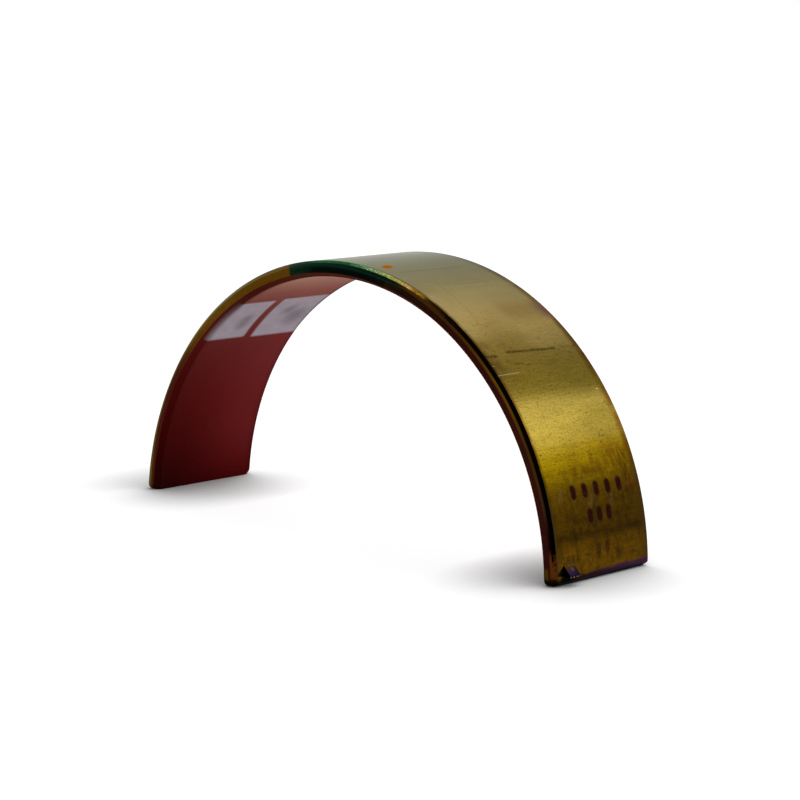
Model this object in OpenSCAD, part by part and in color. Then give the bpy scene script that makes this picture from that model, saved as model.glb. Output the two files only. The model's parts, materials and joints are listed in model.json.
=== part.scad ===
// Plain half of a thin-wall main bearing for a crankshaft journal.
// The shell is shown as it is before fitting: it stands on its two joint faces
// like an arch and is sprung a little wider than the housing it is pressed into.
// X runs across the joint faces, Y along the journal, Z up to the crown.
// The origin is midway between the joint faces, in their plane.

/* [Fit] */
// Diameter of the housing bore that the shell is pressed into
housing_d = 69; // [50:0.5:100]
// Extra diameter of the back while the shell is free
free_spread = 2; // [0:0.1:4]
// Wall from the back to the bore
wall = 2; // [1.4:0.05:3]
// Width of the shell along the journal
shell_w = 17.5; // [12:0.5:30]

/* [End edges] */
// Chamfer of the bore at each end face, along the journal
bore_chamfer_w = 0.85; // [0.2:0.05:1.5]
// Chamfer of the bore at each end face, into the wall
bore_chamfer_h = 0.5; // [0.1:0.05:0.6]
// Chamfer of the back at the front end face, along the journal
back_chamfer_w = 0.6; // [0.2:0.05:1.5]
// Chamfer of the back at the front end face, into the wall
back_chamfer_h = 0.55; // [0.1:0.05:0.6]
// Broken edge of the back at the rear end face, the same both ways
rear_break = 0.1; // [0.05:0.05:0.6]

/* [Joint faces] */
// Bevel along the outer edge of each joint face
joint_bevel = 0.5; // [0.1:0.05:0.6]
// Depth of the relief in the bore at each joint face
relief_depth = 0.04; // [0.01:0.01:0.15]
// Height above the joint faces at which that relief has run out
relief_height = 8; // [4:0.5:14]

/* [Locating lug] */
// Width of the lug along the journal
lug_w = 1.8; // [1.5:0.1:4]
// Distance from the front end face to the lug
lug_from_end = 1.8; // [1.5:0.1:6]
// Height of the lug's locating face above the joint face
lug_set_back = 1.1; // [0.6:0.05:2]
// How far the locating face stands out from the back
lug_out = 0.95; // [0.5:0.05:1.5]
// Height of the flat on the lug's tip
lug_land = 0.2; // [0.1:0.05:0.4]
// Height from the locating face to where the lug has run out into the back
lug_ramp = 1.6; // [1.5:0.1:4]
// Radius of the round that brings the lug's slope into the back
lug_round = 0.8; // [0.4:0.05:1]
// Depth of the pocket that the punch leaves in the bore behind the lug
pocket_depth = 0.7; // [0.3:0.05:1]

/* [Hidden] */

$fn = 240;
// How far a cutting shape runs past the face that it cuts
overrun = 1;
// How far the end of a pressed ramp dips under the surface that it runs out into
ramp_dip = 0.02;
// How far the straight slope of a pressed ramp cuts into its round
slope_bite = 0.002;

half_w = shell_w / 2;
back_r = (housing_d + free_spread) / 2;
bore_r = back_r - wall;
// The back is as long as half the housing bore, so a wider arc turns through less than a half turn
half_angle = 90 * housing_d / (housing_d + free_spread);
// Height of the joint faces above the axis of the free arc
joint_rise = back_r * cos(half_angle);
// Height on the lug side at which the pressed ramps have run out
lug_top = lug_set_back + lug_ramp;

// Distance across from the middle to a circle about the arc's axis, at a height above the joint faces
function arc_x(r, z) = sqrt(r * r - (z + joint_rise) * (z + joint_rise));

// Angle above the arc's axis of a point on the bore, at a height above the joint faces
function bore_angle(z) = asin((z + joint_rise) / bore_r);

// Lays a profile drawn across X and Z along the journal, from one place to another
module along_journal(from_y, to_y) {
    translate([0, to_y, 0])
        rotate([90, 0, 0])
            linear_extrude(to_y - from_y)
                children();
}

// Section of the wall: distance from the arc's axis against place along the journal
module wall_section() {
    polygon([
        [bore_r, -half_w + bore_chamfer_w],
        [bore_r + bore_chamfer_h, -half_w],
        [back_r - back_chamfer_h, -half_w],
        [back_r, -half_w + back_chamfer_w],
        [back_r, half_w - rear_break],
        [back_r - rear_break, half_w],
        [bore_r + bore_chamfer_h, half_w],
        [bore_r, half_w - bore_chamfer_w],
    ]);
}

// Arch of the wall, cut off flat in the plane of the joint faces
module arch() {
    reach = back_r + overrun;
    intersection() {
        translate([0, 0, -joint_rise])
            rotate([-90, 0, 0])
                rotate_extrude()
                    wall_section();
        translate([-reach, -reach, 0])
            cube([2 * reach, 2 * reach, reach]);
    }
}

// Corner taken off the outer edge of the joint face on the lug side
module joint_bevel_cut() {
    edge_x = arc_x(back_r, 0);
    along_journal(-half_w - overrun, half_w + overrun)
        polygon([
            [edge_x - joint_bevel - overrun, -overrun],
            [edge_x + overrun, -overrun],
            [edge_x + overrun, joint_bevel + overrun],
        ]);
}

// Relief of the bore on the lug side: the bore moved out and down until it cuts only below relief_height
module relief_cut() {
    run_out = bore_angle(relief_height);
    shift = relief_depth / sin(run_out - bore_angle(0));
    translate([shift * sin(run_out), 0, -joint_rise - shift * cos(run_out)])
        rotate([90, 0, 0])
            cylinder(r = bore_r, h = shell_w + 2 * overrun, center = true);
}

// Carries a profile across the width of the lug
module across_lug() {
    from_y = lug_from_end - half_w;
    along_journal(from_y, from_y + lug_w)
        children();
}

// Profile of a pressed ramp on a circle about the arc's axis. It stands out by `out` at its tip and
// slopes straight back from there, until a round lets it run out along the circle at lug_top.
module ramp_profile(r, out, root, bottom_z) {
    tip = [arc_x(r, lug_set_back) + out, lug_set_back + lug_land];
    run_out = [arc_x(r - ramp_dip, lug_top), lug_top];
    outward = (run_out + [0, joint_rise]) / (r - ramp_dip);
    centre = run_out + lug_round * outward;
    // Where the straight slope meets the round, a hair inside it so that the two cross cleanly
    to_tip = (tip - centre) / norm(tip - centre);
    turn = acos(lug_round / norm(tip - centre));
    touch = centre + (lug_round - slope_bite) * [
        to_tip[0] * cos(turn) + to_tip[1] * sin(turn),
        to_tip[1] * cos(turn) - to_tip[0] * sin(turn),
    ];
    root_x = run_out[0] - root;
    past_tip = 2 * tip - touch;
    clear_z = lug_top + overrun;
    difference() {
        translate([root_x, bottom_z])
            square([tip[0] - root_x, lug_top - bottom_z]);
        translate(centre)
            circle(lug_round);
        polygon([centre, touch, past_tip, [past_tip[0], clear_z], [centre[0], clear_z]]);
    }
}

// Metal pushed out of the back, with sheared sides and a flat locating face below
module lug() {
    across_lug()
        ramp_profile(back_r, lug_out, wall / 2, lug_set_back);
}

// Room that the punch leaves in the bore, open at the joint face
module lug_pocket() {
    across_lug()
        ramp_profile(bore_r, pocket_depth, overrun, -overrun);
}

// Steel back with its bonded lining, formed from one strip
module bearing_shell() {
    color("#8f7a2e")
        difference() {
            union() {
                difference() {
                    arch();
                    for (side = [0, 1])
                        mirror([side, 0, 0]) {
                            joint_bevel_cut();
                            relief_cut();
                        }
                }
                lug();
            }
            lug_pocket();
        }
}

bearing_shell();
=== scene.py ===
"""Looks of a plain half bearing shell that stands on its joint faces like an arch.

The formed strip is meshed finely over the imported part, then given its tinted, coated and painted finishes.
Lengths are millimetres here, and become metres where a mesh, a lamp or the camera is made.
Places on the shell are unrolled: millimetres along the back from the arc's axis level on the lug's leg,
then millimetres across from the middle of the width.
"""
import json
import math

import bpy
import bmesh
import numpy as np
from mathutils import Matrix, Vector


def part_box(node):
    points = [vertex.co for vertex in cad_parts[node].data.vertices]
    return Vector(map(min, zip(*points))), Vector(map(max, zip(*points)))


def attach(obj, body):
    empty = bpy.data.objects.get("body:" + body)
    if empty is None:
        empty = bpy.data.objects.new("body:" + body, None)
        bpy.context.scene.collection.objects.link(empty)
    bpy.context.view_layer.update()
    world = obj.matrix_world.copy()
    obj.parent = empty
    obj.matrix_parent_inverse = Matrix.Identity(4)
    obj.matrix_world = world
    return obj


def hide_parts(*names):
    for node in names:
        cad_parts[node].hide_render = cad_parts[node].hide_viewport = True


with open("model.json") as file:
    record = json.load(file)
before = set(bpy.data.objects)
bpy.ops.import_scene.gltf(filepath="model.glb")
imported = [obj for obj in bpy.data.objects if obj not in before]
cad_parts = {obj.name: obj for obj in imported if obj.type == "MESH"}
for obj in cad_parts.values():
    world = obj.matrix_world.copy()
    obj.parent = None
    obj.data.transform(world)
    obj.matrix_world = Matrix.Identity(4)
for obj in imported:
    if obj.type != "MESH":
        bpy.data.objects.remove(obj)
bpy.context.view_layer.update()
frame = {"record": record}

MM = 0.001

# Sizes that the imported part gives
mounts = {mount["name"]: mount for mount in frame["record"]["mounts"]}
shell_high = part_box("bearing_shell")[1] / MM
bore_r = mounts["journal_bore"]["dims"]["r_mm"]
joint_rise = -mounts["journal_bore"]["pos_m"][2] / MM
half_w = shell_high.y
back_r = shell_high.z + joint_rise
lug_mid_y = mounts["lug_seat"]["pos_m"][1] / MM
lug_seat_z = mounts["lug_seat"]["pos_m"][2] / MM
lug_tip_x = shell_high.x

# Sizes of the edges, the bore's relief and the pressed lug
bore_chamfer_w = 0.85
bore_chamfer_h = 0.5
back_chamfer_w = 0.6
back_chamfer_h = 0.55
rear_break = 0.1
joint_bevel = 0.5
relief_depth = 0.04
relief_height = 8
lug_w = 1.8
lug_land = 0.2
lug_ramp = 1.6
lug_round = 0.8
pocket_depth = 0.7
ramp_dip = 0.02
edge_round = 0.06
foot_corner = 0.75
foot_corner_reach = 1.8

lug_from = lug_mid_y - lug_w / 2
lug_to = lug_mid_y + lug_w / 2
lug_top = lug_seat_z + lug_ramp

# Fineness of the mesh
round_steps = 4
face_lines = 4
end_margin_lines = 4
lug_lines = 9
plain_lines = 28
lug_height_steps = 24
foot_corner_steps = 7
arch_steps = 260
line_gap = 0.01
edge_support = 0.05
sharp_edge = math.radians(32)


def arc_x(r, z):
    """Distance across from the middle to a circle about the arc's axis, at a height above the joint faces."""
    return np.sqrt(r * r - (z + joint_rise) ** 2)


def pressed_ramp_x(r, out, z):
    """Distance across to a ramp pressed out of such a circle: a tip, a slope and a round that runs out."""
    tip = np.array([arc_x(r, lug_seat_z) + out, lug_seat_z + lug_land])
    run_out = np.array([arc_x(r - ramp_dip, lug_top), lug_top])
    outward = (run_out + [0, joint_rise]) / (r - ramp_dip)
    centre = run_out + lug_round * outward
    reach = np.linalg.norm(tip - centre)
    to_tip = (tip - centre) / reach
    turn = math.acos(lug_round / reach)
    touch = centre + lug_round * np.array([
        to_tip[0] * math.cos(turn) + to_tip[1] * math.sin(turn),
        to_tip[1] * math.cos(turn) - to_tip[0] * math.sin(turn),
    ])
    round_x = centre[0] - np.sqrt(np.maximum(lug_round**2 - (z - centre[1]) ** 2, 0))
    slope_x = np.interp(z, [tip[1], touch[1]], [tip[0], touch[0]])
    ramp_x = np.where(z > touch[1], round_x, slope_x)
    return np.where(z > lug_top, 0, ramp_x)


def relief_x(z):
    """Distance across to the bore's relief, which is the bore moved out and down."""
    turn = math.asin((relief_height + joint_rise) / bore_r)
    foot = math.asin(joint_rise / bore_r)
    shift = relief_depth / math.sin(turn - foot)
    drop = z + joint_rise + shift * math.cos(turn)
    return shift * math.sin(turn) + np.sqrt(np.maximum(bore_r**2 - drop**2, 0))


def bevel_top():
    """Height at which the bevel of a joint face meets the back."""
    flat_x = arc_x(back_r, 0) - joint_bevel
    b = flat_x + joint_rise
    c = flat_x**2 + joint_rise**2 - back_r**2
    return (math.sqrt(b * b - 2 * c) - b) / 2


def bevelled_x(z):
    """Distance across to the back, with the joint face's bevel blended into it."""
    back = arc_x(back_r, z)
    bevel = arc_x(back_r, 0) - joint_bevel + z
    return (back + bevel - np.sqrt((back - bevel) ** 2 + edge_support**2)) / 2


def corner_round(before, corner, after):
    """Points of the small round that takes the place of one corner of the section."""
    corner = np.array(corner)
    to_before = np.array(before) - corner
    to_after = np.array(after) - corner
    to_before = to_before / np.linalg.norm(to_before)
    to_after = to_after / np.linalg.norm(to_after)
    half_turn = math.acos(np.clip(to_before @ to_after, -1, 1)) / 2
    inward = (to_before + to_after) / np.linalg.norm(to_before + to_after)
    centre = corner + inward * edge_round / math.sin(half_turn)
    first = corner + to_before * edge_round / math.tan(half_turn) - centre
    last = corner + to_after * edge_round / math.tan(half_turn) - centre
    shares = np.linspace(0, 1, round_steps + 1)
    chords = np.outer(1 - shares, first) + np.outer(shares, last)
    return centre + chords * (edge_round / np.linalg.norm(chords, axis=1))[:, None]


def width_lines(start, end):
    """Places across the width: close pairs of lines stand where the lug is sheared from the strip."""
    return np.concatenate([
        [start + edge_support],
        np.linspace(start + 3 * edge_support, lug_from - line_gap, end_margin_lines),
        np.linspace(lug_from + line_gap, lug_to - line_gap, lug_lines),
        np.linspace(lug_to + line_gap, end - 3 * edge_support, plain_lines),
        [end - edge_support],
    ])


def half_section(surface_r, front, rear, into_wall):
    """Half of the wall's section, as distances from the arc's axis and places across the width.

    It runs from the middle of the front end face over the surface to the middle of the rear end face.
    Front and rear give the chamfer there: how wide it is, and how far it goes into the wall.
    The name of the finish of each stretch between two points comes with it.
    """
    middle_r = (back_r - back_chamfer_h + bore_r + bore_chamfer_h) / 2
    front_r = surface_r + into_wall * front[1]
    rear_r = surface_r + into_wall * rear[1]
    turns = [
        (middle_r, -half_w), (front_r, -half_w), (surface_r, front[0] - half_w),
        (surface_r, half_w - rear[0]), (rear_r, half_w), (middle_r, half_w),
    ]
    rounds = [corner_round(*turns[i - 1:i + 2]) for i in range(1, 5)]
    face_shares = np.linspace(0, 1, face_lines, endpoint=False)
    front_face_r = middle_r + (rounds[0][0][0] - middle_r) * face_shares
    rear_face_r = middle_r + (rounds[3][-1][0] - middle_r) * face_shares[::-1]
    flat = width_lines(rounds[1][-1][1], rounds[2][0][1])
    points = np.concatenate([
        np.stack([front_face_r, np.full(face_lines, -half_w)], axis=1),
        rounds[0],
        rounds[1],
        np.stack([np.full(len(flat), surface_r), flat], axis=1),
        rounds[2],
        rounds[3],
        np.stack([rear_face_r, np.full(face_lines, half_w)], axis=1),
    ])
    end_face = ["end_face"] * (face_lines + round_steps // 2)
    chamfer = ["chamfer"] * (round_steps + 1)
    surface = ["surface"] * (len(points) - 1 - 2 * len(end_face) - 2 * len(chamfer))
    return points, end_face + chamfer + surface + chamfer + end_face


def arch_stations():
    """Shares of the way along the arch from the lug's foot, closest together at the feet and the lug."""
    bevel_z = bevel_top()
    corner = foot_corner * (1 - np.cos(np.linspace(0, math.pi / 2, foot_corner_steps)))
    bevel = [bevel_z - 2 * edge_support, bevel_z, bevel_z + 2 * edge_support]
    foot = np.sort(np.concatenate([corner, bevel]))
    lug = np.linspace(lug_seat_z + lug_land, lug_top, lug_height_steps)
    near_z = np.concatenate([foot, [lug_seat_z - line_gap, lug_seat_z + line_gap], lug])
    foot_turn = math.asin(joint_rise / back_r)
    turn = math.pi - 2 * foot_turn
    near = (np.arcsin((near_z + joint_rise) / back_r) - foot_turn) / turn
    far = 1 - near[:len(foot)][::-1]
    arch = np.linspace(near[-1], far[0], arch_steps)[1:-1]
    return np.concatenate([near, arch, far])


def drawn_in_y(y, z):
    """Places across the width, drawn in near the feet so that the strip's corners are round."""
    below = np.clip(foot_corner - z, 0, foot_corner)
    pull = foot_corner - np.sqrt(foot_corner**2 - below**2)
    share = np.maximum(np.abs(y) - half_w + foot_corner_reach, 0) / foot_corner_reach
    return y - np.sign(y) * share * pull


def swept(section, stations):
    """Places across and heights of a half section's points at each station along the arch."""
    radius = section[:, 0]
    foot_turn = np.arcsin(joint_rise / radius)
    turn = foot_turn + stations[:, None] * (math.pi - 2 * foot_turn)
    return radius * np.cos(turn), radius * np.sin(turn) - joint_rise


def shell_points():
    """Points of the outer and the inner half at each station, with the finish of each stretch."""
    stations = arch_stations()
    bore_chamfer = (bore_chamfer_w, bore_chamfer_h)
    outer, outer_finish = half_section(back_r, (back_chamfer_w, back_chamfer_h), (rear_break, rear_break), -1)
    inner, inner_finish = half_section(bore_r, bore_chamfer, bore_chamfer, 1)
    outer_x, outer_z = swept(outer, stations)
    inner_x, inner_z = swept(inner, stations)

    # The bevel of each joint face draws the outer half in towards the middle of the wall
    on_back = len(outer) // 2
    side = np.sign(outer_x[:, :1])
    middle_x = np.abs(outer_x[:, :1])
    back_z = outer_z[:, on_back:on_back + 1]
    drawn_in = (bevelled_x(back_z) - middle_x) / (arc_x(back_r, back_z) - middle_x)
    drawn_in = np.where(back_z < 3 * bevel_top(), drawn_in, 1)
    outer_x = side * (middle_x + (np.abs(outer_x) - middle_x) * drawn_in)

    # The relief takes the bore out a little at each foot
    low = inner_z < relief_height
    inner_side = np.sign(inner_x)
    inner_x = np.where(low, inner_side * np.maximum(np.abs(inner_x), relief_x(inner_z)), inner_x)

    # The lug is pushed out of the back, and its pocket out of the bore
    lug_out = lug_tip_x - arc_x(back_r, lug_seat_z)
    outer_lug = (np.abs(outer[:, 1] - lug_mid_y) < lug_w / 2) & (outer[:, 0] > back_r - line_gap)
    inner_lug = (np.abs(inner[:, 1] - lug_mid_y) < lug_w / 2) & (inner[:, 0] < bore_r + line_gap)
    pushed = outer_lug & (outer_z > lug_seat_z) & (outer_x > 0)
    outer_x = np.where(pushed, np.maximum(outer_x, pressed_ramp_x(back_r, lug_out, outer_z)), outer_x)
    punched = inner_lug & (inner_x > 0)
    inner_x = np.where(punched, np.maximum(inner_x, pressed_ramp_x(bore_r, pocket_depth, inner_z)), inner_x)

    outer_points = np.stack([outer_x, drawn_in_y(outer[:, 1], outer_z), outer_z], axis=-1)
    inner_points = np.stack([inner_x, drawn_in_y(inner[:, 1], inner_z), inner_z], axis=-1)
    return outer_points, inner_points, outer_finish, inner_finish


def shell_mesh(finishes):
    """One closed mesh of the shell. Its faces take their material's place in finishes."""
    outer, inner, outer_finish, inner_finish = shell_points()
    steps, count = outer.shape[:2]
    last = count - 1
    loop = np.concatenate([outer, inner[:, last - 1:0:-1]], axis=1)
    size = loop.shape[1]
    strip_finish = [finishes[f"outer_{name}"] for name in outer_finish]
    strip_finish += [finishes[f"inner_{name}"] for name in reversed(inner_finish)]

    def place(i, k):
        return i * size + k % size

    faces = []
    face_finish = []
    for i in range(steps - 1):
        for k in range(size):
            faces.append((place(i, k), place(i, k + 1), place(i + 1, k + 1), place(i + 1, k)))
            finish = strip_finish[k]
            corners = loop[[i, i, i + 1, i + 1], [k, (k + 1) % size, (k + 1) % size, k]]
            middle = corners.mean(axis=0)
            on_outside = face_lines + round_steps // 2 <= k < last - face_lines - round_steps // 2
            if on_outside and middle[2] < bevel_top():
                finish = finishes["joint_face"]
            in_lug = on_outside and lug_from - line_gap <= middle[1] <= lug_to + line_gap
            if in_lug and middle[0] > 0 and lug_seat_z - line_gap < middle[2] < lug_top:
                finish = finishes["lug"]
            face_finish.append(finish)
    for i in (0, steps - 1):
        for k in range(last):
            ring = [place(i, k), place(i, k + 1), place(i, -k - 1), place(i, -k)]
            faces.append(tuple(dict.fromkeys(ring)))
            face_finish.append(finishes["joint_face"])

    mesh = bpy.data.meshes.new("half_shell")
    mesh.from_pydata((loop.reshape(-1, 3) * MM).tolist(), [], faces)
    mesh.polygons.foreach_set("material_index", face_finish)
    mesh.polygons.foreach_set("use_smooth", [True] * len(faces))
    shape = bmesh.new()
    shape.from_mesh(mesh)
    bmesh.ops.recalc_face_normals(shape, faces=shape.faces)
    shape.to_mesh(mesh)
    shape.free()
    mesh.set_sharp_from_angle(angle=sharp_edge)
    return mesh


# Node helpers

def colour(code):
    """A colour written as on a paint card, turned into linear light."""
    parts = [int(code[i:i + 2], 16) / 255 for i in (1, 3, 5)]
    linear = [p / 12.92 if p <= 0.04045 else ((p + 0.055) / 1.055) ** 2.4 for p in parts]
    return (*linear, 1)


def feed(tree, socket, value):
    """Links a socket to another one, or sets it to a plain value."""
    if isinstance(value, bpy.types.NodeSocket):
        tree.links.new(value, socket)
    else:
        socket.default_value = value


def new_node(tree, kind, settings=(), inputs=()):
    """A node with its settings, and its inputs by name or place."""
    node = tree.nodes.new(kind)
    for name, value in dict(settings).items():
        setattr(node, name, value)
    for name, value in dict(inputs).items():
        feed(tree, node.inputs[name], value)
    return node


def sum_of(tree, operation, *values, clamp=False):
    """The result of one Math node."""
    settings = {"operation": operation, "use_clamp": clamp}
    return new_node(tree, "ShaderNodeMath", settings, enumerate(values)).outputs[0]


def vector_of(tree, operation, *values):
    """The result of one Vector Math node."""
    node = new_node(tree, "ShaderNodeVectorMath", {"operation": operation}, enumerate(values))
    return node.outputs["Value" if operation in ("LENGTH", "DOT_PRODUCT") else "Vector"]


def joined(tree, **parts):
    """A vector from its parts X, Y and Z. A part that isn't given is 0."""
    return new_node(tree, "ShaderNodeCombineXYZ", {}, parts).outputs[0]


def stretched(tree, vector, scale):
    """A place stretched by its own factor each way."""
    return vector_of(tree, "MULTIPLY", vector, scale)


def step(tree, value, low, high):
    """0 below low and 1 above high, with a soft change between. It falls instead where low is above high."""
    inputs = {"Value": value, "From Min": low, "From Max": high}
    return new_node(tree, "ShaderNodeMapRange", {"interpolation_type": "SMOOTHSTEP"}, inputs).outputs[0]


def between(tree, value, low, high, soft):
    """1 from low to high, fading out over soft at both ends."""
    rise = step(tree, value, low - soft, low + soft)
    fall = step(tree, value, high + soft, high - soft)
    return sum_of(tree, "MULTIPLY", rise, fall)


def noise(tree, vector, scale, detail=3, roughness=0.55):
    """Cloudy values from 0 to 1."""
    inputs = {"Vector": vector, "Scale": scale, "Detail": detail, "Roughness": roughness}
    return new_node(tree, "ShaderNodeTexNoise", {}, inputs).outputs[0]


def mixed(tree, share, below, above, blend="MIX"):
    """One colour laid over another."""
    settings = {"data_type": "RGBA", "blend_type": blend}
    return new_node(tree, "ShaderNodeMix", settings, {0: share, 6: below, 7: above}).outputs[2]


def ramp(tree, value, stops):
    """Colours at places from 0 to 1."""
    node = new_node(tree, "ShaderNodeValToRGB", {}, {0: value})
    elements = node.color_ramp.elements
    while len(elements) < len(stops):
        elements.new(1)
    for element, (place, code) in zip(elements, stops):
        element.position = place
        element.color = colour(code)
    return node.outputs[0]


def new_group(name, inputs, outputs):
    """An empty shader node group, with its input and output nodes."""
    tree = bpy.data.node_groups.new(name, "ShaderNodeTree")
    for socket, kind in inputs.items():
        tree.interface.new_socket(socket, in_out="INPUT", socket_type=f"NodeSocket{kind}")
    for socket, kind in outputs.items():
        tree.interface.new_socket(socket, in_out="OUTPUT", socket_type=f"NodeSocket{kind}")
    return tree, tree.nodes.new("NodeGroupInput").outputs, tree.nodes.new("NodeGroupOutput").inputs


def placed(tree, group, **inputs):
    """A shared effect placed in a material with its own values. Returns its outputs."""
    named = {name.replace("_", " "): value for name, value in inputs.items()}
    return new_node(tree, "ShaderNodeGroup", {"node_tree": group}, named).outputs


# Shared effects

def place_on_arch_group():
    """Where a point of the shell lies: degrees round the arc, millimetres across, and the unrolled place."""
    outputs = {"Angle": "Float", "Across": "Float", "Radius": "Float", "Height": "Float",
               "Unrolled": "Vector", "Wall": "Vector"}
    tree, _, out = new_group("place_on_arch", {}, outputs)
    here = tree.nodes.new("ShaderNodeTexCoord").outputs["Object"]
    here = stretched(tree, here, (1 / MM, 1 / MM, 1 / MM))
    parts = new_node(tree, "ShaderNodeSeparateXYZ", {}, {0: here}).outputs
    rise = sum_of(tree, "ADD", parts["Z"], joint_rise)
    turn = sum_of(tree, "ARCTAN2", rise, parts["X"])
    angle = sum_of(tree, "DEGREES", turn)
    along = sum_of(tree, "MULTIPLY", turn, back_r)
    radius = vector_of(tree, "LENGTH", joined(tree, X=parts["X"], Z=rise))
    results = {
        "Angle": angle,
        "Across": parts["Y"],
        "Radius": radius,
        "Height": parts["Z"],
        "Unrolled": joined(tree, X=along, Y=parts["Y"]),
        "Wall": joined(tree, X=along, Y=radius, Z=parts["Y"]),
    }
    for name, value in results.items():
        feed(tree, out[name], value)
    return tree


def brush_lines_group():
    """Fine lines of a brushed or turned surface. Lines gives how many there are to a millimetre each way."""
    tree, given, out = new_group("brush_lines", {"Place": "Vector", "Lines": "Vector"}, {"Shade": "Float"})
    fine = noise(tree, vector_of(tree, "MULTIPLY", given["Place"], given["Lines"]), 1, 4, 0.6)
    broad = stretched(tree, given["Lines"], (0.13, 0.4, 0.13))
    broad = noise(tree, vector_of(tree, "MULTIPLY", given["Place"], broad), 1, 2, 0.5)
    shade = sum_of(tree, "ADD", sum_of(tree, "MULTIPLY", fine, 0.6), sum_of(tree, "MULTIPLY", broad, 0.4))
    feed(tree, out["Shade"], shade)
    return tree


def stroke_group():
    """A straight stroke of a tool, a pen or a scratch, with ragged edges."""
    inputs = {"Place": "Vector", "From": "Vector", "To": "Vector", "Width": "Float", "Soft": "Float",
              "Ragged": "Float"}
    tree, given, out = new_group("stroke", inputs, {"Mask": "Float"})
    along = vector_of(tree, "SUBTRACT", given["To"], given["From"])
    here = vector_of(tree, "SUBTRACT", given["Place"], given["From"])
    reach = vector_of(tree, "DOT_PRODUCT", here, along)
    length = vector_of(tree, "DOT_PRODUCT", along, along)
    share = sum_of(tree, "DIVIDE", reach, length, clamp=True)
    nearest = {0: along, "Scale": share}
    nearest = new_node(tree, "ShaderNodeVectorMath", {"operation": "SCALE"}, nearest).outputs[0]
    away = vector_of(tree, "LENGTH", vector_of(tree, "SUBTRACT", here, nearest))
    rough = sum_of(tree, "SUBTRACT", noise(tree, given["Place"], 3, 3), 0.5)
    away = sum_of(tree, "MULTIPLY_ADD", rough, given["Ragged"], away)
    half = sum_of(tree, "MULTIPLY", given["Width"], 0.5)
    low = sum_of(tree, "SUBTRACT", half, given["Soft"])
    high = sum_of(tree, "ADD", half, given["Soft"])
    feed(tree, out["Mask"], step(tree, away, high, low))
    return tree


def patch_group():
    """A soft-edged oblong field, given by its middle and half its size."""
    inputs = {"Place": "Vector", "Middle": "Vector", "Half Size": "Vector", "Corner": "Float",
              "Soft": "Float"}
    tree, given, out = new_group("patch", inputs, {"Mask": "Float"})
    away = vector_of(tree, "ABSOLUTE", vector_of(tree, "SUBTRACT", given["Place"], given["Middle"]))
    corner = joined(tree, X=given["Corner"], Y=given["Corner"])
    straight = vector_of(tree, "SUBTRACT", given["Half Size"], corner)
    over = vector_of(tree, "MAXIMUM", vector_of(tree, "SUBTRACT", away, straight), (0, 0, 0))
    reach = vector_of(tree, "LENGTH", over)
    low = sum_of(tree, "SUBTRACT", given["Corner"], given["Soft"])
    high = sum_of(tree, "ADD", given["Corner"], given["Soft"])
    feed(tree, out["Mask"], step(tree, reach, high, low))
    return tree


arch_place = place_on_arch_group()
brush_lines = brush_lines_group()
stroke = stroke_group()
patch = patch_group()


def new_material(name):
    """A material with its shader, and where each point of it lies on the shell."""
    material = bpy.data.materials.new(name)
    material.use_nodes = True
    tree = material.node_tree
    shader = tree.nodes["Principled BSDF"]
    return material, tree, shader, placed(tree, arch_place)


def bumped(tree, shader, height, depth):
    """Gives a shader the small relief of its surface, depth in millimetres."""
    inputs = {"Height": height, "Distance": depth * MM, "Strength": 1}
    feed(tree, shader.inputs["Normal"], new_node(tree, "ShaderNodeBump", {}, inputs).outputs[0])


def bare_metal(tree, shader, tint, roughness, relief, depth):
    """Makes a shader metal, with its tint, its roughness and the small relief of its surface."""
    feed(tree, shader.inputs["Base Color"], tint)
    feed(tree, shader.inputs["Roughness"], roughness)
    shader.inputs["Metallic"].default_value = 1
    shader.inputs["Specular Tint"].default_value = edge_tint
    bumped(tree, shader, relief, depth)


def round_the_arc(tree, angle, stops, last=180):
    """Colours at angles in degrees, from 0 to the last one."""
    return ramp(tree, sum_of(tree, "DIVIDE", angle, last), [(turn / last, code) for turn, code in stops])


# Finishes

# Edges of the faces, which the finishes follow
face_outer_r = back_r - back_chamfer_h
face_inner_r = bore_r + bore_chamfer_h
front_edge = back_chamfer_w - half_w
bore_edge = half_w - bore_chamfer_w

# Degrees round the arc at which the class paint starts, covers fully and ends
paint_from = 69
paint_full = 82
paint_to = 105

# How pale the metals turn when seen along their surface
edge_tint = (0.62, 0.65, 0.59, 1)


def degrees_from_crown(tree, here):
    """How far round the arc a point lies from the crown, on either side."""
    return sum_of(tree, "ABSOLUTE", sum_of(tree, "SUBTRACT", here["Angle"], 90))


def shaded(tree, tint, shade, low, high):
    """A colour made darker and lighter by a shade, from low times to high times."""
    factor = sum_of(tree, "MULTIPLY_ADD", shade, high - low, low)
    grey = new_node(tree, "ShaderNodeCombineColor", {}, {0: factor, 1: factor, 2: factor}).outputs[0]
    return mixed(tree, 1, tint, grey, "MULTIPLY")


def scaled(tree, mask, share):
    """A mask taken down to a share of itself."""
    return sum_of(tree, "MULTIPLY", mask, share)


def laid(tree, tint, code, mask, share=1):
    """A colour laid over a tint where a mask lies, at a share of its full strength."""
    if share < 1:
        mask = scaled(tree, mask, share)
    return mixed(tree, mask, tint, colour(code))


def both(tree, *masks):
    """Where all the masks lie."""
    result = masks[0]
    for mask in masks[1:]:
        result = sum_of(tree, "MULTIPLY", result, mask)
    return result


def either(tree, *masks):
    """Where any of the masks lies."""
    result = masks[0]
    for mask in masks[1:]:
        result = sum_of(tree, "MAXIMUM", result, mask)
    return result


def stroke_mask(tree, place, from_, to, width, soft, ragged):
    """One stroke, given by its unrolled ends."""
    return placed(tree, stroke, Place=place, From=(*from_, 0), To=(*to, 0), Width=width, Soft=soft,
                  Ragged=ragged)["Mask"]


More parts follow.
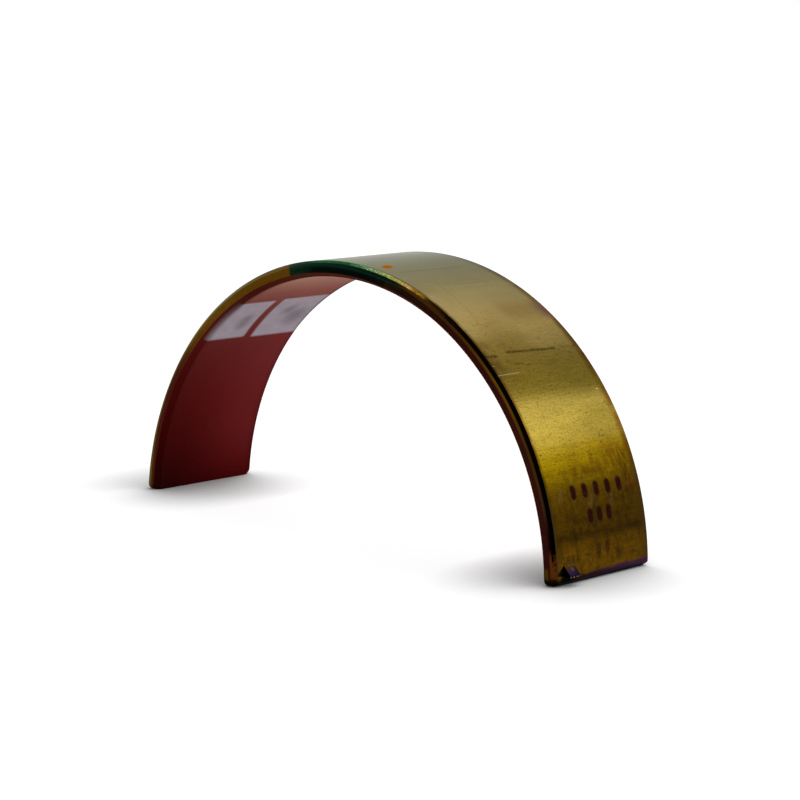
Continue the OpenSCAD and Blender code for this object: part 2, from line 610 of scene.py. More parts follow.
def strokes_mask(tree, place, ends, width, soft, ragged):
    """Several strokes of one tool."""
    return either(tree, *(stroke_mask(tree, place, *pair, width, soft, ragged) for pair in ends))


def streaked(tree, place, stretch, low, high, detail=4, roughness=0.55):
    """Ragged streaks, from clouds of which stretch gives the number to a millimetre each way."""
    clouds = noise(tree, stretched(tree, place, stretch), 1, detail, roughness)
    return step(tree, clouds, low, high)


def class_paint_mask(tree, here):
    """Dab of paint over the front edge of the crown, with one clean and one ragged end."""
    ragged = sum_of(tree, "MULTIPLY_ADD", noise(tree, here["Wall"], 1.2, 3), 8, -4)
    start = sum_of(tree, "ADD", here["Angle"], ragged)
    return both(tree, step(tree, start, paint_from, paint_full),
                step(tree, here["Angle"], paint_to, paint_to - 0.4),
                step(tree, here["Across"], front_edge + 0.25, front_edge + 0.05))


def dab_row(middle_along, middle_across, count, spacing):
    """Ends of the short fat strokes that make a row of oval ink dabs, side by side across the width."""
    half_length = 0.4
    dabs = []
    for i in range(count):
        across = middle_across + (i - (count - 1) / 2) * spacing
        dabs.append(((middle_along - half_length, across), (middle_along + half_length, across)))
    return dabs


def soft_patch(tree, place, middle, half_size, soft):
    """A soft-edged blot with round ends, given by its unrolled middle and half its size."""
    return placed(tree, patch, Place=place, Middle=(*middle, 0), Half_Size=(*half_size, 0),
                  Corner=min(half_size), Soft=soft)["Mask"]


def soft_patches(tree, place, blots):
    """Several such blots, each with its middle, half its size and its softness."""
    return either(tree, *(soft_patch(tree, place, *blot) for blot in blots))


def pits_mask(tree, place, density, rarity):
    """Small pits, in cells of which density gives the number to a millimetre each way.

    Rarity is the share of the cells that have no pit.
    """
    inputs = {"Vector": stretched(tree, place, (*density, 1)), "Scale": 1}
    cells = new_node(tree, "ShaderNodeTexVoronoi", {}, inputs).outputs
    chosen = new_node(tree, "ShaderNodeSeparateColor", {}, {0: cells["Color"]}).outputs[0]
    return both(tree, step(tree, cells["Distance"], 0.36, 0.12), step(tree, chosen, rarity, rarity + 0.06))


def golden_ground(tree, here, clouds):
    """Gold of the back round the arc, with painted shade near the feet, its clouds, a painted highlight, and
    its duller and deeper fields.
    """
    place = here["Unrolled"]
    # The darker stops near the feet are painted shade: the dark that the back reflects near the floor.
    tint = round_the_arc(tree, here["Angle"], [
        (0, "#5a3c02"), (7, "#553901"), (11.5, "#402a01"), (16, "#462f01"), (20, "#573e01"),
        (22.5, "#816800"), (25, "#8a7000"), (27, "#7e680c"), (30, "#746322"), (37, "#756429"),
        (40, "#63531a"), (43.5, "#705e1e"), (48, "#766227"), (50, "#806a2e"), (55, "#816c3b"),
        (60, "#7e6a3d"), (65, "#7c6a42"), (70, "#86764c"), (75, "#827350"), (80, "#786b42"),
        (85, "#6e6130"), (90, "#695b27"), (125, "#745e18"), (150, "#6c5203"), (166, "#4c3402"),
        (180, "#583604"),
    ])
    tint = shaded(tree, tint, step(tree, here["Across"], 9, -9), 0.86, 1.08)
    tint = laid(tree, tint, "#5a3e08", step(tree, clouds, 0.45, 0.75), 0.25)
    # A painted highlight, where the rear of the back turns light earlier round the arc.
    painted_highlight = soft_patch(tree, place, (32.4, 6.0), (1.8, 5.0), 1.6)
    tint = laid(tree, tint, "#a08a52", painted_highlight, 0.36)
    dulled = soft_patch(tree, place, (19.7, 5.6), (2.0, 3.8), 1.2)
    tint = laid(tree, tint, "#5e4e18", dulled, 0.5)
    deeper = placed(tree, patch, Place=place, Middle=(16.0, 5.4, 0), Half_Size=(1.55, 4.6, 0), Corner=0.4,
                    Soft=0.2)["Mask"]
    return laid(tree, tint, "#785e00", deeper, 0.5)


def stained_legs(tree, here, tint, streaky):
    """Smears that run along the strip, and brown stains, on the lower third of each leg."""
    place = here["Unrolled"]
    legs = either(tree, between(tree, here["Angle"], 2, 22, 5), between(tree, here["Angle"], 158, 180, 5))
    smears = streaked(tree, place, (0.16, 0.6, 1), 0.47, 0.68, detail=5, roughness=0.65)
    tint = laid(tree, tint, "#2a1c02", both(tree, smears, legs), 0.6)
    blots = streaked(tree, place, (0.6, 0.24, 1), 0.54, 0.72, roughness=0.65)
    tint = laid(tree, tint, "#241602", both(tree, blots, legs), 0.5)
    mottled = sum_of(tree, "SUBTRACT", noise(tree, place, 1.2, 5, 0.75), 0.5)
    tint = shaded(tree, tint, sum_of(tree, "MULTIPLY_ADD", mottled, legs, 0.5), 0.05, 1.95)
    tide = soft_patch(tree, place, (6.9, 0), (0.55, 9), 0.5)
    tide = both(tree, tide, streaked(tree, place, (0.8, 0.25, 1), 0.3, 0.6))
    stains = soft_patches(tree, place, [
        ((13.9, 6.5), (1.7, 0.45), 0.45), ((11.1, 6.6), (0.5, 0.8), 0.4), ((7.2, -3.9), (0.5, 1.8), 0.4),
        ((6.9, 7.2), (0.5, 1.2), 0.4), ((4.4, -5.2), (0.45, 1.1), 0.4), ((4.1, 3.2), (0.7, 0.6), 0.6),
    ])
    stains = either(tree, scaled(tree, both(tree, stains, streaky), 0.7), scaled(tree, tide, 0.55))
    tint = laid(tree, tint, "#221402", stains)
    rust = soft_patches(tree, place, [
        ((14.9, 1.5), (1.5, 0.6), 0.5), ((14.2, -0.2), (0.7, 3.0), 0.7), ((12.4, 7.0), (1.8, 1.0), 0.9),
        ((14.6, 5.6), (2.4, 2.6), 1.5),
    ])
    tint = laid(tree, tint, "#4e2602", both(tree, rust, streaky), 0.6)
    wiped = strokes_mask(tree, place, [
        ((11.4, -6.2), (12.2, -5.7)), ((10.3, -0.7), (11.3, -0.4)), ((10.2, 2.9), (10.8, 3.1)),
        ((12.3, 7.9), (13.2, 8.1)),
    ], width=0.5, soft=0.4, ragged=0.9)
    return laid(tree, tint, "#a09878", wiped, 0.05)


def brushed(tree, here, tint, lines):
    """Brush lines across the width, the grain of the tint, and the lines' short dark ends."""
    place = here["Unrolled"]
    from_crown = degrees_from_crown(tree, here)
    strength = sum_of(tree, "MULTIPLY_ADD", step(tree, from_crown, 30, 50), 0.55, 0.45)
    grain = noise(tree, place, 4, 3, 0.75)
    for shade in (lines, grain):
        swing = sum_of(tree, "MULTIPLY", sum_of(tree, "SUBTRACT", shade, 0.5), strength)
        tint = shaded(tree, tint, sum_of(tree, "ADD", swing, 0.5), 0.4, 1.6)
    ends = streaked(tree, place, (4.6, 0.9, 1), 0.57, 0.68, detail=3, roughness=0.6)
    ends = both(tree, ends, between(tree, here["Angle"], 17, 60, 8))
    return laid(tree, tint, "#3a2a08", ends, 0.5)


def tinted_edges(tree, here, tint, streaky):
    """Bronze along both edges with its stains, the violet feet, and a painted shadow below the lug."""
    place = here["Unrolled"]
    edges = either(tree, step(tree, here["Across"], half_w - 1.55, half_w - 0.45),
                   step(tree, here["Across"], front_edge + 0.6, front_edge + 0.1))
    bronze = both(tree, edges, step(tree, noise(tree, place, 0.5, 3), 0.15, 0.55))
    bronze_tint = mixed(tree, step(tree, here["Angle"], 14, 26), colour("#3a2a0c"), colour("#4a2e02"))
    tint = mixed(tree, scaled(tree, bronze, 0.88), tint, bronze_tint)
    edge_stain = both(tree, soft_patch(tree, place, (29.8, -7.3), (2.8, 0.9), 0.8), streaky)
    tint = laid(tree, tint, "#3a200c", edge_stain, 0.5)
    cloud = soft_patch(tree, place, (37.3, 4.8), (1.3, 4.0), 1.3)
    tint = laid(tree, tint, "#5a4018", cloud, 0.45)
    haze = soft_patch(tree, place, (36.7, 8.4), (1.6, 1.4), 1.2)
    tint = laid(tree, tint, "#4e2c2e", haze, 0.7)
    ragged = sum_of(tree, "MULTIPLY_ADD", noise(tree, place, 0.9, 4, 0.6), 0.6, -0.3)
    foot = sum_of(tree, "MULTIPLY_ADD", here["Across"], -0.02, sum_of(tree, "ADD", here["Height"], ragged))
    foot = step(tree, foot, 1.15, 0.75)
    foot_tint = mixed(tree, step(tree, here["Across"], -5, 3), colour("#1e0a12"), colour("#321436"))
    tint = mixed(tree, scaled(tree, foot, 0.9), tint, foot_tint)
    # Painted shadow: near black below the lug.
    painted_shadow_under_lug = soft_patch(tree, place, (2.3, -6.35), (0.6, 1.2), 0.3)
    return laid(tree, tint, "#060306", painted_shadow_under_lug)


def back_pits(tree, here):
    """Pits of two sizes on the bright part of the lug's leg."""
    place = here["Unrolled"]
    coarse = pits_mask(tree, place, density=(2.9, 1.8), rarity=0.88)
    coarse = both(tree, coarse, between(tree, here["Angle"], 22, 46, 4))
    fine = pits_mask(tree, place, density=(4.6, 2.8), rarity=0.66)
    fine = both(tree, fine, between(tree, here["Angle"], 18, 50, 4))
    return either(tree, coarse, scaled(tree, fine, 0.8))


def worn_marks(tree, place, tint, pits):
    """Rubbed streaks, faint lines, pits and scratches."""
    broken = streaked(tree, place, (3, 1.2, 1), 0.22, 0.46)
    streak = strokes_mask(tree, place, [
        ((30.55, -4.1), (30.35, 0)), ((30.35, 0), (30.2, 4.2)), ((30.3, -8.0), (30.17, -6.3)),
    ], width=0.26, soft=0.22, ragged=0.6)
    dashes = strokes_mask(tree, place, [
        ((30.25, 5.2), (30.12, 7.9)), ((28.75, -4.1), (28.65, -2.8)), ((28.45, -2.4), (28.4, -1.7)),
        ((29.4, 6.0), (29.2, 6.5)),
    ], width=0.16, soft=0.16, ragged=0.4)
    faint = strokes_mask(tree, place, [
        ((16.4, -8.0), (16.3, -1.0)), ((24.6, -1.5), (24.5, 7.0)), ((35.3, -6.0), (35.2, -2.0)),
        ((17.0, -4.4), (25.0, -4.3)), ((17.55, -7.8), (17.4, 8.0)),
        ((35.3, -4.7), (44.7, -3.4)), ((43.7, -1.0), (43.6, 5.0)),
    ], width=0.12, soft=0.2, ragged=0.5)
    crown_line = stroke_mask(tree, place, (48.5, -5.6), (48.45, 5.0), width=0.35, soft=0.35, ragged=0.5)
    worn = either(
        tree, scaled(tree, both(tree, streak, broken), 0.9), scaled(tree, both(tree, dashes, broken), 0.5),
        scaled(tree, both(tree, faint, broken), 0.25), scaled(tree, crown_line, 0.3),
    )
    tint = laid(tree, tint, "#301e04", worn)
    tint = laid(tree, tint, "#2e1c04", pits, 0.75)
    scratches = strokes_mask(tree, place, [
        ((27.48, -8.1), (27.53, -4.35)), ((28.9, -8.0), (28.8, -7.7)), ((23.9, 7.0), (23.8, 7.3)),
    ], width=0.04, soft=0.05, ragged=0.05)
    return laid(tree, tint, "#cfc4ac", scratches, 0.7)


def back_finish():
    """Golden tinted steel of the back, brushed across its width, stained near the feet."""
    material, tree, shader, here = new_material("tinted_back")
    place = here["Unrolled"]
    clouds = noise(tree, place, 0.1, 4)
    lines = placed(tree, brush_lines, Place=place, Lines=(4.2, 0.3, 1))["Shade"]
    streaky = streaked(tree, place, (0.6, 1.6, 1), 0.3, 0.6)
    pits = back_pits(tree, here)
    tint = golden_ground(tree, here, clouds)
    tint = stained_legs(tree, here, tint, streaky)
    tint = brushed(tree, here, tint, lines)
    tint = tinted_edges(tree, here, tint, streaky)
    tint = worn_marks(tree, place, tint, pits)

    # Plain oval dabs of brown ink that mark the batch
    dabs = dab_row(12.0, 0.6, count=5, spacing=2.1) + dab_row(9.0, 0.4, count=3, spacing=1.7)
    ink = strokes_mask(tree, place, dabs, width=0.95, soft=0.16, ragged=0.1)
    old_dabs = dab_row(5.0, 0.3, count=2, spacing=1.6)
    old_ink = strokes_mask(tree, place, old_dabs, width=0.8, soft=0.2, ragged=0.1)
    ink_cover = sum_of(tree, "MULTIPLY_ADD", noise(tree, place, 1.6, 2), 0.5, 0.72, clamp=True)
    marks = either(tree, ink, scaled(tree, old_ink, 0.6))
    tint = laid(tree, tint, "#240508", both(tree, marks, ink_cover))

    # Paint: a dot near the crown, and the class paint that comes over from the end face
    dot = stroke_mask(tree, place, (50.85, -5.85), (51.15, -5.1), width=1.1, soft=0.12, ragged=0.1)
    tint = laid(tree, tint, "#a65c00", dot)
    green = class_paint_mask(tree, here)
    tint = laid(tree, tint, "#1b6a2c", green)

    feed(tree, shader.inputs["Base Color"], tint)
    feed(tree, shader.inputs["Metallic"], sum_of(tree, "SUBTRACT", 1, either(tree, dot, green)))
    rough = sum_of(tree, "MULTIPLY_ADD", lines, 0.1, 0.14)
    rough = sum_of(tree, "MULTIPLY_ADD", clouds, 0.05, rough)
    feed(tree, shader.inputs["Roughness"], either(tree, rough, scaled(tree, either(tree, dot, ink), 0.5)))
    shader.inputs["Specular IOR Level"].default_value = 0
    shader.inputs["Specular Tint"].default_value = edge_tint
    bumped(tree, shader, sum_of(tree, "MULTIPLY_ADD", pits, -1.5, lines), 0.003)
    return material


def rim_with_painted_light(tree, here, specks):
    """Front chamfer beside the back: painted dark reflection, then worn metal with a painted highlight where
    the paint starts, then paint and gold.
    """
    wander = sum_of(tree, "MULTIPLY_ADD", specks, 10, sum_of(tree, "SUBTRACT", here["Angle"], 5))
    # Black from 9 to 54 degrees is a painted dark reflection; the bright gold from 68 to 80 degrees is a
    # painted highlight on worn metal.
    rubbed_and_painted_light = round_the_arc(tree, wander, [
        (0, "#3c2006"), (6, "#4e280a"), (8, "#381606"), (9.2, "#030202"), (54, "#030202"),
        (61, "#120a04"), (66, "#2c1c08"), (68.5, "#6a4e0c"), (70.5, "#a87c10"), (72.5, "#b28a1e"),
        (76, "#929c2e"), (80, "#86985e"), (85, "#3e7c4c"), (88.5, "#0a4e2c"), (92, "#0c5430"),
        (96, "#1c6034"), (99, "#0e3e22"), (112, "#0c2c1a"),
    ])
    gold = round_the_arc(tree, here["Angle"], [
        (paint_to, "#5c4208"), (140, "#6a5210"), (150, "#6e5a16"), (180, "#6e5a16"),
    ])
    rubbed_and_painted_light = mixed(tree, step(tree, here["Angle"], paint_to + 0.1, paint_to + 0.5), rubbed_and_painted_light, gold)
    rubbed_and_painted_light = shaded(tree, rubbed_and_painted_light, noise(tree, here["Wall"], 3.5, 3), 0.1, 1.9)
    sparkle = both(tree, between(tree, here["Angle"], paint_from, paint_full, 2),
                   step(tree, noise(tree, here["Wall"], 4.5, 2), 0.54, 0.62))
    rubbed_and_painted_light = laid(tree, rubbed_and_painted_light, "#b98672", sparkle, 0.7)
    gaps = both(tree, between(tree, here["Angle"], 74, 86, 4),
                step(tree, noise(tree, here["Wall"], 3, 3), 0.52, 0.6))
    rubbed_and_painted_light = laid(tree, rubbed_and_painted_light, "#1e4a2a", gaps, 0.7)
    # Painted glints: small white highlights on the chamfer where the paint starts.
    painted_glints = both(tree, between(tree, here["Angle"], 70, 86, 2),
                  streaked(tree, here["Wall"], (2.4, 9, 9), 0.58, 0.66, detail=2))
    return laid(tree, rubbed_and_painted_light, "#e4e2c4", painted_glints, 0.75)


def rim_finish():
    """Oxide on the back's chamfers: painted dark reflection on the lug's leg, then gold, with paint at the
    crown's front.
    """
    material, tree, shader, here = new_material("oxide_rim")
    specks = noise(tree, here["Wall"], 1.6, 4)
    tint = round_the_arc(tree, here["Angle"], [
        (0, "#3c2006"), (8, "#4e280a"), (30, "#5a3c0c"), (90, "#5c4c20"), (150, "#5a3c0c"),
        (180, "#3c2006"),
    ])
    worn_edge = round_the_arc(tree, here["Angle"], [
        (0, "#3c2006"), (8, "#50280a"), (9.6, "#120404"), (13, "#1c0a06"), (18, "#38200e"),
        (30, "#3e2404"), (38, "#583a04"), (44, "#583a04"), (52, "#462804"), (60, "#321c08"),
        (66, "#3a2206"), (71, "#3c2404"), (75, "#0c1407"), (80, "#011609"), (90, "#04160d"),
        (paint_to - 0.3, "#061c12"), (paint_to + 0.1, "#5a4006"), (140, "#664e0e"), (150, "#6e5a16"),
        (180, "#6e5a16"),
    ])

    # The worn line along the chamfer's inner edge is narrower on the lug's leg
    narrower = scaled(tree, step(tree, here["Angle"], 66, 58), 0.12)
    worn = sum_of(tree, "ADD", here["Across"], narrower)
    worn = step(tree, worn, front_edge - 0.25, front_edge - 0.34)
    front = step(tree, here["Across"], 0.1, -0.1)
    front_tint = mixed(tree, worn, rim_with_painted_light(tree, here, specks), worn_edge)
    tint = mixed(tree, front, tint, front_tint)
    lines = placed(tree, brush_lines, Place=here["Wall"], Lines=(0.4, 9, 9))["Shade"]
    tint = shaded(tree, tint, lines, 0.7, 1.3)
    low = sum_of(tree, "MULTIPLY_ADD", specks, 0.6, sum_of(tree, "SUBTRACT", here["Height"], 0.3))
    tint = laid(tree, tint, "#0a0504", step(tree, low, 1.2, 0.8), 0.9)
    roughness = sum_of(tree, "MULTIPLY_ADD", specks, 0.25, 0.22)
    bare_metal(tree, shader, tint, roughness, lines, 0.003)
    return material


def face_paint(tree, here, turned, specks):
    """Class paint on the end face: greener outwards, and thin near its clean end."""
    outwards = step(tree, here["Radius"], face_outer_r - 0.35, face_outer_r + 0.05)
    painted = mixed(tree, outwards, colour("#010605"), colour("#04241a"))
    thin_paint = both(tree, step(tree, here["Angle"], 96, 104), step(tree, specks, 0.3, 0.7))
    painted = laid(tree, painted, "#0a2c1a", thin_paint)
    return shaded(tree, painted, turned, 0.3, 1.7)


def end_face_finish():
    """Faced ends of the strip: brown oxide on the lug's leg, gold on the other, painted at the crown."""
    material, tree, shader, here = new_material("faced_end")
    tint = round_the_arc(tree, here["Angle"], [
        (3.4, "#0c0504"), (4.4, "#2a1006"), (9, "#2a0c0a"), (30, "#2c100a"), (60, "#260a06"),
        (72, "#1a0a06"), (104, "#523404"), (118, "#523404"), (140, "#60440a"), (150, "#462208"),
        (160, "#482414"), (172, "#503418"), (180, "#46301c"),
    ])
    turned = placed(tree, brush_lines, Place=here["Wall"], Lines=(0.12, 12, 1))["Shade"]
    clouds = noise(tree, here["Wall"], 0.5, 4)
    narrowing = sum_of(tree, "MULTIPLY_ADD", here["Angle"], 0.012, -1.5)
    inner_half = sum_of(tree, "SUBTRACT", here["Radius"], narrowing)
    inner_half = step(tree, inner_half, face_outer_r - 0.2, face_inner_r + 0.2)
    inner_half = both(tree, inner_half, step(tree, here["Angle"], 124, 150))
    tint = laid(tree, tint, "#3a100c", inner_half, 0.85)
    spreading = sum_of(tree, "SUBTRACT", here["Angle"], 150)
    spreading = sum_of(tree, "MULTIPLY_ADD", spreading, 0.012, here["Radius"])
    worn_line = both(tree, step(tree, spreading, face_outer_r - 0.23, face_outer_r - 0.05),
                     step(tree, here["Angle"], 140, 150))
    tint = laid(tree, tint, "#625012", worn_line, 0.8)
    gilt = both(tree, step(tree, here["Radius"], face_outer_r - 0.11, face_outer_r - 0.03),
                between(tree, here["Angle"], 20, 64, 8), step(tree, clouds, 0.15, 0.4))
    tint = laid(tree, tint, "#4e3208", gilt, 0.8)
    amber = placed(tree, patch, Place=here["Wall"], Middle=(3.0, face_inner_r + 0.4, -half_w),
                   Half_Size=(0.75, 0.25, 1), Corner=0.24, Soft=0.22)["Mask"]
    amber = both(tree, amber, step(tree, clouds, 0.2, 0.5), step(tree, here["Height"], 0.6, 1.0))
    tint = laid(tree, tint, "#4e3802", amber, 0.8)
    tint = shaded(tree, tint, turned, 0.7, 1.3)
    tint = shaded(tree, tint, clouds, 0.75, 1.25)
    specks = noise(tree, here["Wall"], 3.5, 3, 0.7)
    tint = shaded(tree, tint, specks, 0.5, 1.5)
    inner_line = both(tree, step(tree, here["Radius"], face_inner_r + 0.16, face_inner_r + 0.08),
                      between(tree, here["Angle"], 14, 90, 6), step(tree, clouds, 0.3, 0.5))
    tint = laid(tree, tint, "#5c2c14", inner_line, 0.7)
    tint = mixed(tree, class_paint_mask(tree, here), tint, face_paint(tree, here, turned, specks))
    roughness = sum_of(tree, "MULTIPLY_ADD", turned, 0.2, 0.3)
    bare_metal(tree, shader, tint, roughness, turned, 0.004)
    return material


def printed_fields(tree, here, tint):
    """Two printed fields, side by side across the width, with cloudy cover and soft blots."""
    place = here["Unrolled"]
    leaning = vector_of(tree, "DOT_PRODUCT", place, (-0.04, 1, 0))
    along = new_node(tree, "ShaderNodeSeparateXYZ", {}, {0: place}).outputs["X"]
    leaned = joined(tree, X=along, Y=leaning)
    fields = [
        placed(tree, patch, Place=leaned, Middle=(80.55, across, 0), Half_Size=(half_length, half_width, 0),
               Corner=0.3, Soft=0.3)["Mask"]
        for across, half_width, half_length in ((-8.7, 3.75, 4.5), (0.8, 4.35, 4.75))
    ]
    printed = both(tree, either(tree, *fields), step(tree, here["Angle"], 90, 91),
                   step(tree, here["Across"], -bore_edge - 0.7, -bore_edge + 0.3))
    cover = sum_of(tree, "MULTIPLY_ADD", noise(tree, place, 0.7, 4), 0.4, 0.7, clamp=True)
    tint = laid(tree, tint, "#e6dcea", both(tree, printed, cover))
    blots = soft_patches(tree, leaned, [
        ((81.4, -7.0), (1.6, 0.9), 0.9), ((79.4, -0.2), (1.1, 1.1), 1.0), ((81.2, 2.0), (1.9, 1.7), 1.4),
    ])
    return laid(tree, tint, "#5a505a", both(tree, printed, blots), 0.45)


def running_finish(name, gloss):
    """Dark red running layer in the bore and on its chamfers, with painted light and shade, and two plain
    printed fields.
    """
    material, tree, shader, here = new_material(name)
    place = here["Unrolled"]
    from_crown = degrees_from_crown(tree, here)
    # Round the arc: pale at the crown, where painted sheen lies in it, and near black at the feet, painted
    # shade.
    tint = round_the_arc(tree, from_crown, [
        (0, "#d09c7a"), (10, "#d09c7a"), (20, "#c48066"), (28, "#a85648"), (36, "#8e342a"),
        (50, "#7d1f1f"), (65, "#721010"), (75, "#640709"), (82, "#540305"), (90, "#360001"),
    ], 90)
    clouds = noise(tree, place, 0.08, 3)
    tint = shaded(tree, tint, clouds, 1.03, 1.38)

    # Painted light: the layer turns lighter from front to rear, most of all near the feet, as if lit from
    # behind
    turn_share = sum_of(tree, "POWER", sum_of(tree, "DIVIDE", from_crown, 82), 2)
    depth = sum_of(tree, "SUBTRACT", step(tree, here["Across"], -9, 9), 0.5)
    factor = sum_of(tree, "MULTIPLY_ADD", depth, sum_of(tree, "MULTIPLY", turn_share, 1.05), 1)
    tint = shaded(tree, tint, factor, 0, 1)
    # Painted sheen: a grey haze over the rear of the legs.
    painted_sheen = both(tree, step(tree, here["Across"], -6, 9), step(tree, from_crown, 30, 60),
                 step(tree, from_crown, 89, 74))
    tint = laid(tree, tint, "#86787a", painted_sheen, 0.07)
    tint = printed_fields(tree, here, tint)

    chamfer = step(tree, sum_of(tree, "ABSOLUTE", here["Across"]), bore_edge - 1, bore_edge + 0.2)
    chamfer = both(tree, chamfer, sum_of(tree, "MULTIPLY_ADD", step(tree, from_crown, 50, 25), 0.6, 0.35))
    chamfer_tint = mixed(tree, step(tree, from_crown, 20, 45), colour("#5c1a10"), colour("#34100c"))
    tint = mixed(tree, chamfer, tint, chamfer_tint)
    feed(tree, shader.inputs["Base Color"], tint)
    shader.inputs["Roughness"].default_value = 0.5
    shader.inputs["Specular IOR Level"].default_value = gloss
    shader.inputs["Sheen Weight"].default_value = 3 * gloss
    shader.inputs["Sheen Roughness"].default_value = 0.4
    shader.inputs["Sheen Tint"].default_value = colour("#ffe0d0")
    bored = placed(tree, brush_lines, Place=place, Lines=(0.1, 7, 1))["Shade"]
    bumped(tree, shader, bored, 0.002)
    return material


def joint_finish():
    """Dark violet cut of the joint faces and their bevels."""
    material, tree, shader, here = new_material("cut_joint_face")
    lines = placed(tree, brush_lines, Place=here["Wall"], Lines=(1, 8, 0.3))["Shade"]
    clouds = noise(tree, here["Wall"], 0.6, 4)
    tint = mixed(tree, step(tree, clouds, 0.35, 0.65), colour("#220e26"), colour("#241016"))
    violet = both(tree, step(tree, here["Height"], 0.1, 0.4), step(tree, here["Across"], -7, -3))
    tint = laid(tree, tint, "#381a3c", violet)
    tint = laid(tree, tint, "#0e0708", step(tree, here["Across"], -7, -8))
    tint = shaded(tree, tint, lines, 0.7, 1.3)
    roughness = sum_of(tree, "MULTIPLY_ADD", lines, 0.2, 0.3)
    bare_metal(tree, shader, tint, roughness, lines, 0.004)
    return material


def lug_finish():
    """Pressed lug: violet with a painted glint on its slope, painted shade on its sheared side, a painted
    highlight on its burr.
    """
    material, tree, shader, here = new_material("pressed_lug")
    place = here["Unrolled"]
    share = step(tree, here["Height"], lug_seat_z, lug_top)
    tint = ramp(tree, share, [
        (0, "#120a1c"), (0.25, "#1e1230"), (0.45, "#2c1a2c"), (0.65, "#34200e"), (0.85, "#3a2806"),
        (1, "#4a3404"),
    ])
    clouds = noise(tree, here["Wall"], 1.6, 4)
    tint = shaded(tree, tint, clouds, 0.3, 1.7)
    # A painted highlight: a small pink spot on the slope.
    painted_glint = soft_patch(tree, place, (3.47, -5.85), (0.16, 0.2), 0.16)
    tint = laid(tree, tint, "#5a3430", painted_glint, 0.8)
    far_side = both(tree, step(tree, here["Across"], lug_mid_y, lug_to), step(tree, share, 0.95, 0.4))
    tint = laid(tree, tint, "#0a0410", far_side, 0.85)
    # Painted shade: the sheared side is near black.
    side = step(tree, here["Across"], lug_from + 0.06, lug_from + 0.02)
    # A painted highlight, broken along the burr at the lug's lower edge.
    painted_burr_highlight = both(tree, step(tree, here["Height"], lug_seat_z + 0.14, lug_seat_z + 0.08),
                step(tree, noise(tree, here["Wall"], 3.2, 2), 0.46, 0.56))
    tint = laid(tree, tint, "#a88c48", painted_burr_highlight, 0.9)
    tint = laid(tree, tint, "#040304", side)
    roughness = sum_of(tree, "MULTIPLY_ADD", clouds, 0.2, 0.25)
    bare_metal(tree, shader, tint, roughness, clouds, 0.02)
    return material


def half_shell():
    """The shell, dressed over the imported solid."""
    materials = [
        back_finish(), rim_finish(), end_face_finish(), running_finish("running_layer", 0.02),
        running_finish("running_layer_edge", 0), joint_finish(), lug_finish(),
    ]
    finishes = {
        "outer_surface": 0, "outer_chamfer": 1, "outer_end_face": 2, "inner_end_face": 2,
        "inner_surface": 3, "inner_chamfer": 4, "joint_face": 5, "lug": 6,
    }
    shell = bpy.data.objects.new("half_shell", shell_mesh(finishes))
    bpy.context.scene.collection.objects.link(shell)
    for material in materials:
        shell.data.materials.append(material)
    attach(shell, "root")
    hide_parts("bearing_shell")


# The photograph's camera
camera_azimuth = 43.155
camera_elevation = 9.999
camera_roll = 1.58
camera_distance = 312.333
aim_right = 1.707
aim_height = 16.009
camera_sensor = 36
camera_lens = 112.30

# Light of the studio
room_light = 0.7
floor_size = 8000
floor_white = 0.42
floor_glow = 0.72
# Reach, depth and lean of the painted contact shadow in the floor's glow
contact_reach = 14
contact_depth = 3
contact_lean = (0.08, 0.45, 1)
sun_distance = 1000


def seen_white(tree):
    """1 for what the camera sees, directly, in a reflection or through glass."""
    path = tree.nodes.new("ShaderNodeLightPath").outputs
    return either(tree, path["Is Camera Ray"], path["Is Glossy Ray"], path["Is Transmission Ray"])


def studio_world():
    """White all round for the eye, and a soft even light on the object."""
    world = bpy.data.worlds.new("white_room")
    bpy.context.scene.world = world
    world.use_nodes = True
    tree = world.node_tree
    background = tree.nodes["Background"]
    background.inputs["Color"].default_value = (1, 1, 1, 1)
    strength = {"Value": seen_white(tree), "To Min": room_light, "To Max": 1}
    strength = new_node(tree, "ShaderNodeMapRange", {}, strength).outputs[0]
    feed(tree, background.inputs["Strength"], strength)


def studio_floor():
    """Plain white floor in the plane of the joint faces. It keeps the shell's shadow, with a painted contact
    shadow at the feet.
    """
    half = floor_size / 2 * MM
    mesh = bpy.data.meshes.new("floor")
    corners = [(-half, -half, 0), (half, -half, 0), (half, half, 0), (-half, half, 0)]
    mesh.from_pydata(corners, [], [(0, 1, 2, 3)])
    floor = bpy.data.objects.new("floor", mesh)
    bpy.context.scene.collection.objects.link(floor)
    material = bpy.data.materials.new("white_floor")
    material.use_nodes = True
    tree = material.node_tree
    shader = tree.nodes["Principled BSDF"]
    shader.inputs["Base Color"].default_value = (floor_white, floor_white, floor_white, 1)
    shader.inputs["Roughness"].default_value = 1
    shader.inputs["Specular IOR Level"].default_value = 0
    shader.inputs["Emission Color"].default_value = (1, 1, 1, 1)
    # Painted contact shadow: ambient occlusion, with a leaned normal, darkens the floor's glow near the
    # shell.
    inputs = {"Distance": contact_reach * MM, "Normal": vector_of(tree, "NORMALIZE", contact_lean)}
    clear_of_painted_shadow = new_node(tree, "ShaderNodeAmbientOcclusion", {"samples": 16}, inputs).outputs["AO"]
    clear_of_painted_shadow = sum_of(tree, "POWER", clear_of_painted_shadow, contact_depth)
    glow = scaled(tree, both(tree, seen_white(tree), clear_of_painted_shadow), floor_glow)
    feed(tree, shader.inputs["Emission Strength"], glow)
    mesh.materials.append(material)


def away_from(azimuth, elevation):
    """Direction out from the shell. Azimuth 0 is in front and 90 on the lug's side."""
    turn = math.radians(azimuth)
    lift = math.radians(elevation)
    return Vector((math.sin(turn) * math.cos(lift), -math.cos(turn) * math.cos(lift), math.sin(lift)))


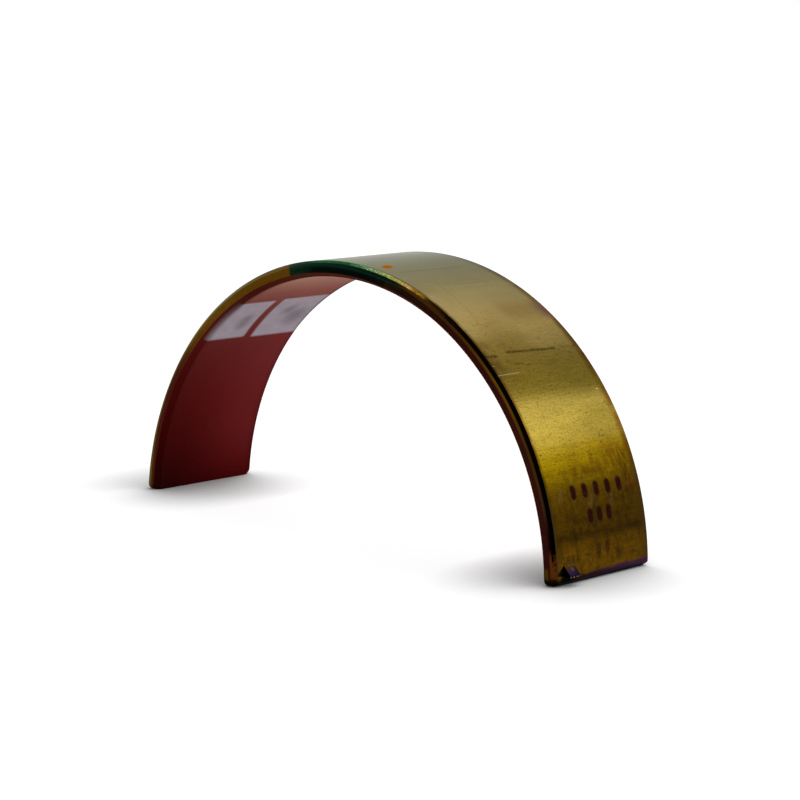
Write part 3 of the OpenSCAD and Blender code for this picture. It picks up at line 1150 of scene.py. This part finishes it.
def hang_lamp(lamp, azimuth, elevation, distance):
    """Puts a lamp round the shell, facing it and out of the camera's sight."""
    away = away_from(azimuth, elevation)
    holder = bpy.data.objects.new(lamp.name, lamp)
    holder.location = (Vector((0, 0, shell_high.z / 2)) + away * distance) * MM
    holder.rotation_mode = "QUATERNION"
    holder.rotation_quaternion = away.to_track_quat("Z", "Y")
    holder.visible_camera = False
    bpy.context.scene.collection.objects.link(holder)
    return holder


def softbox(name, azimuth, elevation, distance, width, height, brightness):
    """A soft lamp with an even face. A brightness of 1 looks white in a mirror."""
    lamp = bpy.data.lights.new(name, "AREA")
    lamp.shape = "RECTANGLE"
    lamp.size = width * MM
    lamp.size_y = height * MM
    lamp.energy = brightness * math.pi * lamp.size * lamp.size_y
    hang_lamp(lamp, azimuth, elevation, distance)


def broad_light(azimuth, elevation, spread, level):
    """Broad light that no metal mirrors. A level of 1 fully lights a white card that faces it."""
    lamp = bpy.data.lights.new("broad_light", "SUN")
    lamp.angle = math.radians(spread)
    lamp.energy = level * math.pi
    hang_lamp(lamp, azimuth, elevation, sun_distance).visible_glossy = False


def photo_camera():
    """The photograph's view: where the camera stands, what it looks at and how it is rolled."""
    turn = math.radians(camera_azimuth)
    roll = math.radians(camera_roll)
    back = away_from(camera_azimuth, camera_elevation)
    level = Vector((math.cos(turn), math.sin(turn), 0))
    upright = back.cross(level)
    right = level * math.cos(roll) + upright * math.sin(roll)
    up = upright * math.cos(roll) - level * math.sin(roll)
    place = level * aim_right + Vector((0, 0, aim_height)) + back * camera_distance
    data = bpy.data.cameras.new("photo_camera")
    data.lens = camera_lens
    data.sensor_width = camera_sensor
    data.clip_start = 0.01
    data.clip_end = 20
    camera = bpy.data.objects.new("photo_camera", data)
    turned = Matrix((right, up, back)).transposed().to_4x4()
    camera.matrix_world = Matrix.Translation(place * MM) @ turned
    bpy.context.scene.collection.objects.link(camera)
    bpy.context.scene.camera = camera


half_shell()
studio_world()
studio_floor()
broad_light(azimuth=195, elevation=60, spread=50, level=0.26)
softbox("right_softbox", azimuth=147, elevation=31.5, distance=700, width=170, height=220, brightness=2.6)
softbox("rear_softbox", azimuth=196, elevation=43, distance=700, width=230, height=190, brightness=0.85)
photo_camera()
bpy.context.scene.view_settings.view_transform = "Standard"
